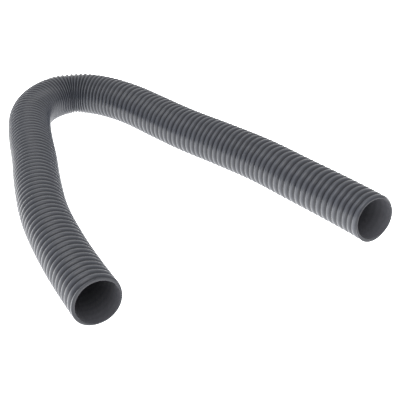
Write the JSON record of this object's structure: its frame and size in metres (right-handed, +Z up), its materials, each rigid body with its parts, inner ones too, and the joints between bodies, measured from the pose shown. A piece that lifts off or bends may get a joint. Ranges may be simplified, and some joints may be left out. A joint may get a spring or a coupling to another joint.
{
  "type": "exhaust hose",
  "caption": "Flexible ribbed plastic exhaust hose with a smooth round bore and two plain cut open ends, lying in a bend on the floor.",
  "frame": {"origin": "on the floor, under the middle of the hose's bounding box", "axes": "+Z up from the floor, +Y from the two open ends towards the bend, +X from the leg of first_cut_end towards the leg of second_cut_end"},
  "size_m": [0.369, 0.4246, 0.044],
  "materials": {
    "hose_plastic": "semi-matte moulded, dark slate grey"
  },
  "bodies": {
    "root": {"hose": "hose_plastic"}
  },
  "joints": []
}
